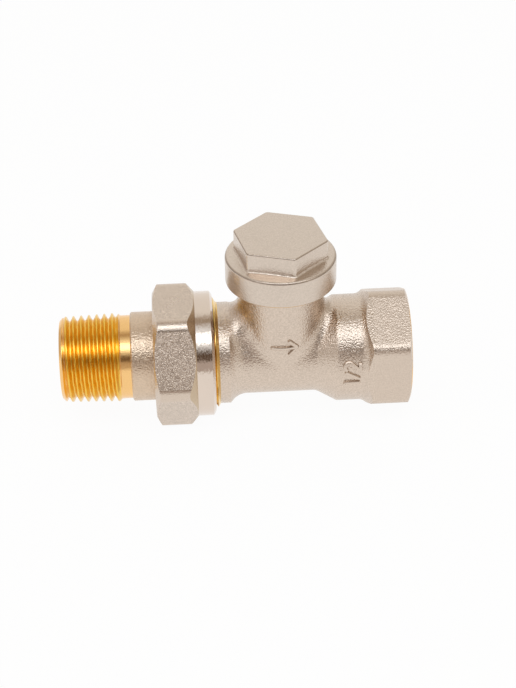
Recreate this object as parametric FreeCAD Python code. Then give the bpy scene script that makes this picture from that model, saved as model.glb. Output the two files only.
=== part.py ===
import FreeCAD, Part
import math
import os

# Straight lockshield radiator valve, 1/2 inch, millimetres.
# X runs along the pipe, zero at the mouth of the female thread, positive out of it.
# Z rises along the spindle; the tail points to negative X.

V = FreeCAD.Vector

# Clearances
thread_clear = 0.05
running_clear = 0.05
face_clear = 0.05
cone_clear = 0.1
shoulder_clear = 0.3

# Seat, chamber, neck and run, from the seat outward
seat_z = 3.0
seat_bore_r = 5.0
seat_lip_width = 0.9
seat_lip_height = 0.8
seat_moat = 0.9
bonnet_step = 0.9
neck_wall = 2.1
neck_chamfer = 0.6
run_margin = 0.1
left_collar_step = 2.1
right_collar_step = 2.7
slope_dip = 0.5
flare_dip = 0.4

# Blends of the forging
neck_fillet = 6.0
left_blend = 4.5
right_blend = 2.5
collar_edge_r = 1.5
valley_r = 2.5
hex_brow_r = 0.8

# Stretches along the run, from the mouth to the tail
hex_length = 8.6
hex_shoulder = 2.0
right_collar_length = 6.5
flare_length = 5.5
flare_under_neck = 2.8
slope_past_neck = 0.2
left_slope_length = 2.5
left_collar_length = 2.4
thread_rise = 0.7
union_thread_length = 9.4
tail_head_length = 2.35
nut_wall = 2.3
nut_length = 14.0
nut_collar_length = 4.2
nut_front_bevel = 1.9
nut_back_bevel = 1.2
shank_length = 5.4
runout_length = 2.3
tail_thread_length = 14.2

# Pipe end
pipe_hex_af = 26.5
pipe_hex_edge_r = 3.2
pipe_end_bevel = 1.1
pipe_minor_r = 9.316
pipe_depth = 15.0
pipe_mouth_chamfer = 0.45

# Union thread, nut and tail
union_major_r = 13.22
union_depth = 1.16
union_chamfer = 0.9
nut_flat_wall = 1.78
nut_edge_r = 3.4
nut_turn = 31.0
nut_collar_wall = 1.54
nut_end_chamfer = 0.6
nut_end_bevel = 1.0
nut_mouth_chamfer = 0.2
nut_brow_r = 0.8
nut_back_margin = 0.3
tail_major_r = 10.478
tail_lead_depth = 1.28
tail_lead_length = 1.3
shank_r = 10.5
shank_chamfer = 0.3
runout_depth = 0.65
runout_rise = 0.7
head_side_clear = 0.16
head_chamfer = 0.4
left_bore_r = 7.6
left_bore_depth = 9.5
seat_cone_depth = 2.3
tail_bore_step = 0.1
tail_nose = 2.0
lug_width = 2.6
lug_height = 1.7
lug_length = 9.0
lug_root = 0.8
lug_setback = 1.5

# Slanting drills of the water way: each joins a bore to the well under the seat or to the chamber
lower_drill_r = 4.6
lower_start_z = -0.8
lower_end_z = -3.9
lower_past_axis = 1.5
upper_drill_r = 4.2
upper_start_z = 1.0
upper_end_z = 5.6
upper_to_axis = 5.6
drill_overlap = 1.5
well_z = -4.0

# Spindle and plug, drawn closed
lift = 3.5
spindle_thread_r = 5.5
spindle_thread_length = 8.3
spindle_lead = 0.6
spindle_chamfer = 0.4
stem_step = 0.6
stem_length = 8.45
stem_chamfer = 0.5
key_af = 5.0
key_depth = 5.0
foot_r = 2.5
plug_side_clear = 0.5
plug_wall = 0.45
plug_skirt = 1.2
plug_height = 3.0
plug_chamfer = 0.5
plug_end_clear = 0.55
plug_headroom = 2.35
washer_thick = 2.0
washer_side_clear = 0.03
plate_r = 3.8
plate_thick = 0.75
plate_bore_clear = 0.1
screw_r = 1.6
screw_head_r = 2.9
screw_head = 1.5
screw_chamfer = 0.6
screw_depth = 4.5
screw_end_clear = 0.5
screw_slot = 0.8
screw_slot_depth = 0.8

# Bonnet and its seals
gasket_thick = 0.8
bonnet_chamfer = 0.5
bonnet_head = 2.2
bonnet_head_bevel = 0.6
bonnet_sink = 0.5
ring_wire_r = 0.48
ring_clear = 0.015
groove_width = 1.2
groove_wall = 0.61
guide_land = 0.9
groove_land = 0.7
top_land = 1.3

# Protective cap
cap_wall = 3.0
cap_edge = 0.35
cap_rim_r = 0.7
cap_flange_height = 6.6
cap_shoulder = 1.2
cap_slope = 0.5
cap_hex_af = 19.3
cap_hex_turn = -16.8
cap_hex_edge_r = 1.0
cap_hex_inset = 0.6
cap_scoop_r = 0.45
cap_top_r = 0.4
cap_roof = 2.0
cap_roof_chamfer = 0.8
cap_key_room = 0.75
cap_mouth_chamfer = 0.4
cap_gasket_thick = 1.0
cap_gasket_margin = 0.1
cap_gasket_overhang = 0.2
recess_clear = 0.5

# Radii that follow
seat_lip_r = seat_bore_r + seat_lip_width
chamber_r = seat_lip_r + seat_moat
bonnet_thread_r = chamber_r + bonnet_step
neck_r = bonnet_thread_r + neck_wall
run_r = neck_r + run_margin
left_collar_r = run_r + left_collar_step
right_collar_r = run_r + right_collar_step
plug_r = chamber_r - plug_side_clear
nut_af = 2 * (union_major_r + nut_flat_wall)
nut_collar_r = union_major_r + nut_collar_wall
tail_bore_r = left_bore_r - tail_bore_step
tail_head_r = union_major_r - union_depth - head_side_clear
runout_r = tail_major_r - runout_depth
stem_r = spindle_thread_r - stem_step
groove_r = stem_r + 2 * (ring_wire_r + ring_clear)
bonnet_hex_af = 2 * (groove_r + groove_wall)
cap_r = neck_r + cap_wall
cap_recess_r = bonnet_hex_af / math.sqrt(3.0) + recess_clear

# Places along the run
hex_x = -hex_length
shoulder_x = hex_x - hex_shoulder
right_collar_x = shoulder_x - right_collar_length
flare_x = right_collar_x - flare_length
spindle_x = flare_x - neck_r + flare_under_neck
slope_x = spindle_x - neck_r - slope_past_neck
left_collar_x = slope_x - left_slope_length
thread_foot_x = left_collar_x - left_collar_length
thread_x = thread_foot_x - thread_rise
body_x = thread_x - union_thread_length
head_face_x = body_x - shoulder_clear
head_back_x = head_face_x - tail_head_length
nut_back_x = head_back_x - face_clear - nut_wall
nut_mouth_x = nut_back_x + nut_length
nut_collar_x = nut_mouth_x - nut_collar_length
shank_x = nut_back_x - shank_length
runout_x = shank_x - runout_length
tail_x = runout_x - tail_thread_length

# Heights along the spindle with the valve closed
closed_z = seat_z + face_clear
washer_z = closed_z + face_clear
crown_z = washer_z + washer_thick + face_clear
plug_top_z = crown_z + plug_height
spindle_thread_z = plug_top_z + plug_end_clear
stem_z = spindle_thread_z + spindle_thread_length
spindle_top_z = stem_z + stem_length
bonnet_seat_z = plug_top_z + lift + plug_headroom
stop_z = stem_z + lift + shoulder_clear
groove_low_z = stop_z + guide_land
groove_high_z = groove_low_z + groove_width + groove_land
bonnet_top_z = groove_high_z + groove_width + top_land
head_z = bonnet_top_z - bonnet_head
neck_top_z = head_z + bonnet_sink
cap_gasket_z = neck_top_z + face_clear
cap_seat_z = cap_gasket_z + cap_gasket_thick + face_clear
cap_rim_z = cap_seat_z + cap_shoulder
cap_base_z = cap_rim_z - cap_flange_height
cap_top_z = spindle_top_z + lift + cap_key_room + cap_roof


def outline(points):
    """Closed face in the plane Y = 0 from (along, radius, corner radius) points."""
    count = len(points)
    flat = [V(p[0], 0, p[1]) for p in points]
    arrive = []
    leave = []
    arcs = []
    for i, point in enumerate(flat):
        round_r = points[i][2] if len(points[i]) > 2 else 0.0
        if round_r == 0.0:
            arrive.append(point)
            leave.append(point)
            arcs.append(None)
            continue
        back = (flat[i - 1] - point).normalize()
        ahead = (flat[(i + 1) % count] - point).normalize()
        half = back.getAngle(ahead) / 2.0
        reach = round_r / math.tan(half)
        middle = (back + ahead).normalize()
        centre = point + middle * (round_r / math.sin(half))
        arrive.append(point + back * reach)
        leave.append(point + ahead * reach)
        arcs.append(centre - middle * round_r)
    edges = []
    for i in range(count):
        if arcs[i] is not None:
            edges.append(Part.Arc(arrive[i], arcs[i], leave[i]).toShape())
        start = leave[i]
        end = arrive[(i + 1) % count]
        if start.distanceToPoint(end) > 1e-6:
            edges.append(Part.LineSegment(start, end).toShape())
    return Part.Face(Part.Wire(edges))


def turned_x(points):
    """Solid of revolution about the run."""
    return outline(points).revolve(V(0, 0, 0), V(1, 0, 0), 360)


def turned_z(points):
    """Solid of revolution about the spindle, from (radius, height, corner radius) points."""
    face = outline(points)
    face.translate(V(spindle_x, 0, 0))
    return face.revolve(V(spindle_x, 0, 0), V(0, 0, 1), 360)


def hexagon(across_flats, length, edge_r, turn):
    """Hexagon prism along Z from zero, long edges rounded, a corner at the angle turn."""
    corner = across_flats / math.sqrt(3.0)
    points = []
    for i in range(7):
        angle = math.radians(turn + 60.0 * i)
        points.append(V(corner * math.cos(angle), corner * math.sin(angle), 0))
    prism = Part.Face(Part.makePolygon(points)).extrude(V(0, 0, length))
    if edge_r == 0.0:
        return prism
    upright = [e for e in prism.Edges if abs(e.BoundBox.ZLength - length) < 1e-6]
    return prism.makeFillet(edge_r, upright)


def along_x(shape, start):
    """Lay a shape built along Z so that it runs along X from start, corner zero pointing up."""
    shape.rotate(V(0, 0, 0), V(0, 1, 0), 90)
    shape.rotate(V(0, 0, 0), V(1, 0, 0), 180)
    shape.translate(V(start, 0, 0))
    return shape


def drill(start, end, radius):
    """Straight drilled hole between two points."""
    return Part.makeCylinder(radius, start.distanceToPoint(end), start, end - start)


def edges_on(shape, test):
    """Edges whose every sample point passes the test."""
    found = []
    for edge in shape.Edges:
        first, last = edge.ParameterRange
        samples = [edge.valueAt(first + (last - first) * k / 6.0) for k in range(7)]
        if all(test(p) for p in samples):
            found.append(edge)
    return found


def make_forging():
    """Outside of the body: run, neck, two collars and the hexagon pipe end, blended."""
    reach = neck_r + neck_fillet + 1.0
    run = Part.makeCylinder(run_r, 2 * reach, V(spindle_x - reach, 0, 0), V(1, 0, 0))
    neck = Part.makeCylinder(neck_r, neck_top_z, V(spindle_x, 0, 0), V(0, 0, 1))
    tee = run.fuse(neck)

    def in_crotch(p):
        radial = math.hypot(p.x - spindle_x, p.y)
        across = math.hypot(p.y, p.z)
        return abs(radial - neck_r) < 0.01 and abs(across - run_r) < 0.01 and p.z > 0

    tee = tee.makeFillet(neck_fillet, edges_on(tee, in_crotch))
    slope_low_r = run_r - slope_dip
    left = turned_x([
        (body_x, 0),
        (body_x, union_major_r - union_chamfer),
        (body_x + union_chamfer, union_major_r),
        (thread_x, union_major_r),
        (thread_foot_x, left_collar_r),
        (left_collar_x, left_collar_r),
        (slope_x, slope_low_r),
        (slope_x, 0),
    ])
    tee = tee.fuse(left).removeSplitter()

    def on_left_slope(p):
        across = math.hypot(p.y, p.z)
        part = (left_collar_r - across) / (left_collar_r - slope_low_r)
        along = left_collar_x + part * (slope_x - left_collar_x)
        return abs(p.x - along) < 0.02 and across < left_collar_r - 0.01

    tee = tee.makeFillet(left_blend, edges_on(tee, on_left_slope))
    flare_low_r = run_r - flare_dip
    right = turned_x([
        (flare_x, 0),
        (flare_x, flare_low_r),
        (right_collar_x, right_collar_r, collar_edge_r),
        (shoulder_x, right_collar_r),
        (shoulder_x, 0),
    ])
    tee = tee.fuse(right).removeSplitter()

    def on_flare(p):
        across = math.hypot(p.y, p.z)
        part = (across - flare_low_r) / (right_collar_r - flare_low_r)
        along = flare_x + part * (right_collar_x - flare_x)
        return abs(p.x - along) < 0.02 and across < right_collar_r - 0.2

    tee = tee.makeFillet(right_blend, edges_on(tee, on_flare))
    corner_r = pipe_hex_af / math.sqrt(3.0) + 0.3
    root_x = shoulder_x - hex_shoulder
    limit = turned_x([
        (root_x, 0),
        (root_x, right_collar_r),
        (shoulder_x, right_collar_r, valley_r),
        (hex_x, corner_r, hex_brow_r),
        (-pipe_end_bevel, corner_r),
        (0, pipe_hex_af / 2.0 + 0.1),
        (0, 0),
    ])
    bar = along_x(hexagon(pipe_hex_af, -root_x, pipe_hex_edge_r, 0.0), root_x)
    return tee.fuse(bar.common(limit)).removeSplitter()


def make_body():
    """Forged body with its pipe bore, union bore, slanting drills, seat and chamber."""
    pipe_bore = turned_x([
        (-pipe_depth, 0),
        (-pipe_depth, pipe_minor_r),
        (-pipe_mouth_chamfer, pipe_minor_r),
        (0, pipe_minor_r + pipe_mouth_chamfer),
        (1, pipe_minor_r + pipe_mouth_chamfer),
        (1, 0),
    ])
    left_bore_x = body_x + left_bore_depth
    left_bore = turned_x([
        (body_x - 1, 0),
        (body_x - 1, left_bore_r + seat_cone_depth),
        (body_x, left_bore_r + seat_cone_depth),
        (body_x + seat_cone_depth, left_bore_r),
        (left_bore_x, left_bore_r),
        (left_bore_x, 0),
    ])
    lower = drill(V(-pipe_depth + drill_overlap, 0, lower_start_z),
                  V(spindle_x - lower_past_axis, 0, lower_end_z), lower_drill_r)
    upper = drill(V(left_bore_x - drill_overlap, 0, upper_start_z),
                  V(spindle_x - upper_to_axis, 0, upper_end_z), upper_drill_r)
    moat_z = seat_z - seat_lip_height
    stack = turned_z([
        (0, well_z),
        (seat_bore_r, well_z),
        (seat_bore_r, seat_z),
        (seat_lip_r, seat_z),
        (seat_lip_r, moat_z),
        (chamber_r, moat_z),
        (chamber_r, bonnet_seat_z),
        (bonnet_thread_r, bonnet_seat_z),
        (bonnet_thread_r, neck_top_z - neck_chamfer),
        (bonnet_thread_r + neck_chamfer, neck_top_z),
        (bonnet_thread_r + neck_chamfer, neck_top_z + 1),
        (0, neck_top_z + 1),
    ])
    rim = turned_z([
        (neck_r - neck_chamfer, neck_top_z),
        (neck_r + 1, neck_top_z - neck_chamfer - 1),
        (neck_r + 1, neck_top_z + 1),
        (neck_r - neck_chamfer, neck_top_z + 1),
    ])
    return make_forging().cut([pipe_bore, left_bore, lower, upper, stack, rim]).removeSplitter()


def make_tail():
    """Tail piece: head with sealing nose, shank, run-out and male thread envelope."""
    nose_r = left_bore_r + seat_cone_depth + shoulder_clear - cone_clear * math.sqrt(2.0)
    blank = turned_x([
        (tail_x, tail_bore_r),
        (tail_x, tail_major_r - tail_lead_depth),
        (tail_x + tail_lead_length, tail_major_r),
        (runout_x, tail_major_r),
        (runout_x + runout_rise, runout_r),
        (shank_x, runout_r),
        (shank_x, shank_r - shank_chamfer),
        (shank_x + shank_chamfer, shank_r),
        (head_back_x, shank_r),
        (head_back_x, tail_head_r),
        (head_face_x - head_chamfer, tail_head_r),
        (head_face_x, tail_head_r - head_chamfer),
        (head_face_x, nose_r),
        (head_face_x + tail_nose, nose_r - tail_nose),
        (head_face_x + tail_nose, tail_bore_r),
    ])
    lugs = []
    for side in (1, -1):
        inner = tail_bore_r - lug_height
        outer = tail_bore_r + lug_root
        lug = Part.makeBox(lug_length, lug_width, outer - inner)
        lug.translate(V(tail_x + lug_setback, -lug_width / 2.0, min(side * inner, side * outer)))
        lugs.append(lug)
    return blank.fuse(lugs).removeSplitter()


def make_nut():
    """Coupling nut: rounded hexagon, turned collar, thread bore and back wall."""
    corner_r = nut_af / math.sqrt(3.0)
    rounded_r = corner_r - nut_edge_r * (2.0 / math.sqrt(3.0) - 1.0) + 0.1
    limit = turned_x([
        (nut_back_x, 0),
        (nut_back_x, nut_af / 2.0 - nut_back_margin),
        (nut_back_x + nut_back_bevel, rounded_r, nut_brow_r),
        (nut_collar_x - nut_front_bevel, rounded_r, nut_brow_r),
        (nut_collar_x, nut_collar_r),
        (nut_collar_x, 0),
    ])
    bar = along_x(hexagon(nut_af, nut_collar_x - nut_back_x, nut_edge_r, nut_turn), nut_back_x)
    collar = turned_x([
        (nut_collar_x, 0),
        (nut_collar_x, nut_collar_r),
        (nut_mouth_x - nut_end_chamfer, nut_collar_r),
        (nut_mouth_x, nut_collar_r - nut_end_bevel),
        (nut_mouth_x, 0),
    ])
    bore_r = union_major_r + thread_clear
    hole_r = shank_r + 2 * running_clear
    wall_x = nut_back_x + nut_wall
    bore = turned_x([
        (nut_back_x - 1, 0),
        (nut_back_x - 1, hole_r),
        (wall_x, hole_r),
        (wall_x, bore_r),
        (nut_mouth_x - nut_mouth_chamfer, bore_r),
        (nut_mouth_x, bore_r + nut_mouth_chamfer),
        (nut_mouth_x + 1, bore_r + nut_mouth_chamfer),
        (nut_mouth_x + 1, 0),
    ])
    return bar.common(limit).fuse(collar).removeSplitter().cut(bore)


def make_cap():
    """Protective cap: flange, hexagon with scooped foot, thread bore and gasket recess."""
    corner_r = cap_hex_af / math.sqrt(3.0)
    inside_r = cap_hex_af / 2.0 - cap_hex_inset
    foot_z = cap_rim_z + cap_slope
    flange = turned_z([
        (0, cap_base_z),
        (cap_r - cap_edge, cap_base_z),
        (cap_r, cap_base_z + cap_edge),
        (cap_r, cap_rim_z, cap_rim_r),
        (inside_r, foot_z),
        (0, foot_z),
    ])
    bar = hexagon(cap_hex_af, cap_top_z - cap_rim_z, cap_hex_edge_r, cap_hex_turn)
    bar.translate(V(spindle_x, 0, cap_rim_z))
    bar = bar.makeFillet(cap_top_r, edges_on(bar, lambda p: abs(p.z - cap_top_z) < 1e-6))
    solid = flange.fuse(bar).removeSplitter()

    def at_foot(p):
        radial = math.hypot(p.x - spindle_x, p.y)
        return cap_rim_z < p.z < foot_z and inside_r + 0.1 < radial < corner_r + 0.05

    solid = solid.makeFillet(cap_scoop_r, edges_on(solid, at_foot))
    bore_r = neck_r + thread_clear
    roof_z = cap_top_z - cap_roof
    bore = turned_z([
        (0, cap_base_z - 1),
        (bore_r + cap_mouth_chamfer, cap_base_z - 1),
        (bore_r + cap_mouth_chamfer, cap_base_z),
        (bore_r, cap_base_z + cap_mouth_chamfer),
        (bore_r, cap_seat_z),
        (cap_recess_r, cap_seat_z),
        (cap_recess_r, roof_z - cap_roof_chamfer),
        (cap_recess_r - cap_roof_chamfer, roof_z),
        (0, roof_z),
    ])
    return solid.cut(bore)


def ring(inner, outer, low, thick):
    """Flat ring about the spindle."""
    return turned_z([(inner, low), (outer, low), (outer, low + thick), (inner, low + thick)])


def make_bonnet():
    """Screwed insert: thread envelope, hexagon head, spindle thread and stem guide."""
    low = bonnet_seat_z + gasket_thick
    outer_r = bonnet_thread_r - thread_clear
    corner_r = bonnet_hex_af / math.sqrt(3.0) + 0.2
    shank = turned_z([
        (0, low),
        (outer_r - bonnet_chamfer, low),
        (outer_r, low + bonnet_chamfer),
        (outer_r, head_z),
        (0, head_z),
    ])
    bar = hexagon(bonnet_hex_af, bonnet_head, 0.0, 0.0)
    bar.translate(V(spindle_x, 0, head_z))
    limit = turned_z([
        (0, head_z),
        (corner_r, head_z),
        (corner_r, bonnet_top_z - bonnet_head_bevel),
        (bonnet_hex_af / 2.0, bonnet_top_z),
        (0, bonnet_top_z),
    ])
    guide_r = stem_r + running_clear
    thread_r = spindle_thread_r + thread_clear
    profile = [(0, low - 1), (thread_r, low - 1), (thread_r, stop_z), (guide_r, stop_z)]
    for groove_z in (groove_low_z, groove_high_z):
        profile.append((guide_r, groove_z))
        profile.append((groove_r, groove_z))
        profile.append((groove_r, groove_z + groove_width))
        profile.append((guide_r, groove_z + groove_width))
    profile.append((guide_r, bonnet_top_z + 1))
    profile.append((0, bonnet_top_z + 1))
    return shank.fuse(bar.common(limit)).removeSplitter().cut(turned_z(profile))


def make_spindle():
    """Spindle: smooth stem with key socket, thread envelope and drilled foot."""
    solid = turned_z([
        (0, closed_z),
        (foot_r, closed_z),
        (foot_r, spindle_thread_z),
        (spindle_thread_r - spindle_lead, spindle_thread_z),
        (spindle_thread_r, spindle_thread_z + spindle_lead),
        (spindle_thread_r, stem_z - spindle_chamfer),
        (spindle_thread_r - spindle_chamfer, stem_z),
        (stem_r, stem_z),
        (stem_r, spindle_top_z - stem_chamfer),
        (stem_r - stem_chamfer, spindle_top_z),
        (0, spindle_top_z),
    ])
    socket = hexagon(key_af, key_depth + 1, 0.0, 0.0)
    socket.translate(V(spindle_x, 0, spindle_top_z - key_depth))
    tapped = Part.makeCylinder(screw_r + thread_clear, screw_depth, V(spindle_x, 0, closed_z), V(0, 0, 1))
    return solid.cut([socket, tapped])


def make_o_ring(groove_z):
    """Round sealing ring in a bonnet groove, round the stem."""
    middle_r = stem_r + ring_clear + ring_wire_r
    centre = V(spindle_x, 0, groove_z + groove_width / 2.0)
    return Part.makeTorus(middle_r, ring_wire_r, centre, V(0, 0, 1))


def make_plug():
    """Cup that turns freely on the foot and holds the seat washer."""
    inner = foot_r + running_clear
    skirt_z = crown_z - plug_skirt
    return turned_z([
        (inner, crown_z),
        (plug_r - plug_wall, crown_z),
        (plug_r - plug_wall, skirt_z),
        (plug_r, skirt_z),
        (plug_r, plug_top_z - plug_chamfer),
        (plug_r - plug_chamfer, plug_top_z),
        (inner, plug_top_z),
    ])


def make_screw():
    """Pan-head screw with a driver slot, from below into the foot."""
    seat = closed_z - plate_thick
    low = seat - screw_head
    tip = closed_z + screw_depth - screw_end_clear
    solid = turned_z([
        (0, low),
        (screw_head_r - screw_chamfer, low),
        (screw_head_r, low + screw_chamfer),
        (screw_head_r, seat),
        (screw_r, seat),
        (screw_r, tip),
        (0, tip),
    ])
    slot = Part.makeBox(2 * screw_head_r + 1, screw_slot, screw_slot_depth + 1)
    slot.translate(V(spindle_x - screw_head_r - 0.5, -screw_slot / 2.0, low - 1))
    return solid.cut(slot)


washer_r = plug_r - plug_wall - washer_side_clear
shapes = {
    "valve_body": make_body(),
    "union_tail": make_tail(),
    "union_nut": make_nut(),
    "protective_cap": make_cap(),
    "cap_gasket": ring(cap_recess_r - cap_gasket_overhang, neck_r - cap_gasket_margin, cap_gasket_z,
                       cap_gasket_thick),
    "bonnet": make_bonnet(),
    "bonnet_gasket": ring(chamber_r + running_clear, bonnet_thread_r - thread_clear, bonnet_seat_z,
                          gasket_thick),
    "spindle": make_spindle(),
    "spindle_o_ring_upper": make_o_ring(groove_high_z),
    "spindle_o_ring_lower": make_o_ring(groove_low_z),
    "valve_plug": make_plug(),
    "seat_washer": ring(foot_r + running_clear, washer_r, washer_z, washer_thick),
    "plug_plate": ring(screw_r + plate_bore_clear, plate_r, closed_z - plate_thick, plate_thick),
    "plug_screw": make_screw(),
}

os.makedirs("parts", exist_ok=True)
for name, shape in shapes.items():
    shape.exportStep("parts/" + name + ".step")
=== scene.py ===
"""Looks of a straight lockshield radiator valve: cut threads, plating, forged marks and a small studio."""

import logging
import math
from dataclasses import dataclass, field
from enum import Enum
from typing import Callable, ClassVar

import bmesh
import bpy
import numpy as np
from mathutils import Matrix, Vector
from mathutils.bvhtree import BVHTree


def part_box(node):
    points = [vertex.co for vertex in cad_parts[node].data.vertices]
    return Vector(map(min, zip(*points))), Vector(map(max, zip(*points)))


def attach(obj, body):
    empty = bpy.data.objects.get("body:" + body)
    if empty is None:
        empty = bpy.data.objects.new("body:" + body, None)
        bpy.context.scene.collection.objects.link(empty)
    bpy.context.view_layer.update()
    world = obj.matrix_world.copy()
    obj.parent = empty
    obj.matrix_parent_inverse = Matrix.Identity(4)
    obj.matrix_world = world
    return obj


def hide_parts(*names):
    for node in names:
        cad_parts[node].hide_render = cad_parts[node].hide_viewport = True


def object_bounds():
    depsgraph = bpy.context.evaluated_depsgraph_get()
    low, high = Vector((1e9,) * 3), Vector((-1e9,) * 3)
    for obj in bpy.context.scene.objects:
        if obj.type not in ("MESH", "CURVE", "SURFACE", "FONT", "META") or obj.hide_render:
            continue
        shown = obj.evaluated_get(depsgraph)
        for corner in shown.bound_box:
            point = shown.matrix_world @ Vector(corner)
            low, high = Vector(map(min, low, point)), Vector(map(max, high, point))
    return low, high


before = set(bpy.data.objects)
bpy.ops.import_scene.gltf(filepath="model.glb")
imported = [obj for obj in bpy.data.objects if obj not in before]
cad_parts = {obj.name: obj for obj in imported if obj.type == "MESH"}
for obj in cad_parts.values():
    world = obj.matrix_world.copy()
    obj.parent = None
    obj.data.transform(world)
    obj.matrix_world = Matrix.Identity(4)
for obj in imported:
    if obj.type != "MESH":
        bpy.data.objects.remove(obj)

CAD_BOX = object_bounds()
LOG = logging.getLogger("radiator_valve")
MM = 0.001
SMOOTH_ANGLE = math.radians(28.0)
Colour = tuple[float, float, float]
Line = list[tuple[float, float]]
Radius = Callable[[np.ndarray, np.ndarray], np.ndarray]
Place = Callable[[float, float, float], Vector]


class Slot(Enum):
    """Material slots of the record."""

    PLATE = "nickel_plate"
    BRASS = "bare_brass"


class Value:
    """A shader socket that does arithmetic: each operation adds one Math node."""

    def __init__(self, graph: "Graph", socket: bpy.types.NodeSocket) -> None:
        """Keep the graph and the output socket."""
        self.graph = graph
        self.socket = socket

    def _math(self, operation: str, first: object, second: object) -> "Value":
        """Add a Math node.

        Args:
            operation: Name of the Math operation.
            first: Value, socket or number of the first input.
            second: Value, socket or number of the second input.

        Returns:
            The node's result.
        """
        made = self.graph.node("ShaderNodeMath", {"operation": operation}, {0: first, 1: second})
        return Value(self.graph, made.outputs[0])

    def __add__(self, other: object) -> "Value":
        """Sum."""
        return self._math("ADD", self, other)

    __radd__ = __add__

    def __sub__(self, other: object) -> "Value":
        """Difference."""
        return self._math("SUBTRACT", self, other)

    def __rsub__(self, other: object) -> "Value":
        """Difference from a number."""
        return self._math("SUBTRACT", other, self)

    def __mul__(self, other: object) -> "Value":
        """Product."""
        return self._math("MULTIPLY", self, other)

    __rmul__ = __mul__

    def larger(self, other: object) -> "Value":
        """The larger of two values."""
        return self._math("MAXIMUM", self, other)

    def angle_over(self, other: object) -> "Value":
        """Angle of the point (other, self), in radians."""
        return self._math("ARCTAN2", self, other)


class Graph:
    """A node tree that is filled node by node.

    Attributes:
        MIX_LOW: Number of a Mix node's first colour input.
        MIX_HIGH: Number of its second colour input.
        MIX_RESULT: Number of its colour output.
    """

    MIX_LOW: ClassVar[int] = 6
    MIX_HIGH: ClassVar[int] = 7
    MIX_RESULT: ClassVar[int] = 2

    def __init__(self, tree: bpy.types.NodeTree) -> None:
        """Start from an empty tree."""
        self.tree = tree
        tree.nodes.clear()

    def node(self, kind: str, settings: dict | None = None, inputs: dict | None = None) -> bpy.types.Node:
        """Add a node, set it up and feed its sockets.

        Args:
            kind: Type of the node.
            settings: Attributes of the node; "stops" gives a ramp's positions and colours.
            inputs: Values or links by socket name or number.

        Returns:
            The new node.
        """
        made = self.tree.nodes.new(kind)
        for name, setting in (settings or {}).items():
            if name == "stops":
                self._set_stops(made.color_ramp, setting)
            else:
                setattr(made, name, setting)
        for name, given in (inputs or {}).items():
            source = given.socket if isinstance(given, Value) else given
            if isinstance(source, bpy.types.NodeSocket):
                self.tree.links.new(source, made.inputs[name])
            else:
                made.inputs[name].default_value = source
        return made

    @staticmethod
    def _set_stops(ramp: bpy.types.ColorRamp, stops: list[tuple[float, Colour]]) -> None:
        """Give a colour ramp its stops.

        Args:
            ramp: The ramp to fill.
            stops: Position and colour of each stop, in order.
        """
        while len(ramp.elements) < len(stops):
            ramp.elements.new(1.0)
        for element, (position, colour) in zip(ramp.elements, stops):
            element.position = position
            element.color = (*colour, 1.0)

    def value(self, node: bpy.types.Node, output: str | int = 0) -> Value:
        """One output of a node as a value."""
        return Value(self, node.outputs[output])

    def smooth(self, value: Value, low: float, high: float) -> Value:
        """Smooth step of a value.

        Args:
            value: What is stepped.
            low: Where the step begins, at 0.
            high: Where it ends, at 1.

        Returns:
            Shares from 0 to 1.
        """
        made = self.node("ShaderNodeMapRange", {"interpolation_type": "SMOOTHSTEP"},
                         {"Value": value, "From Min": low, "From Max": high})
        return self.value(made)

    def blend(self, share: Value, low: object, high: object) -> bpy.types.NodeSocket:
        """Mix two colours.

        Args:
            share: Share of the second colour.
            low: Socket or RGBA of the first colour.
            high: Socket or RGBA of the second colour.

        Returns:
            The mixed colour.
        """
        made = self.node("ShaderNodeMix", {"data_type": "RGBA"},
                         {"Factor": share, self.MIX_LOW: low, self.MIX_HIGH: high})
        return made.outputs[self.MIX_RESULT]


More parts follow.
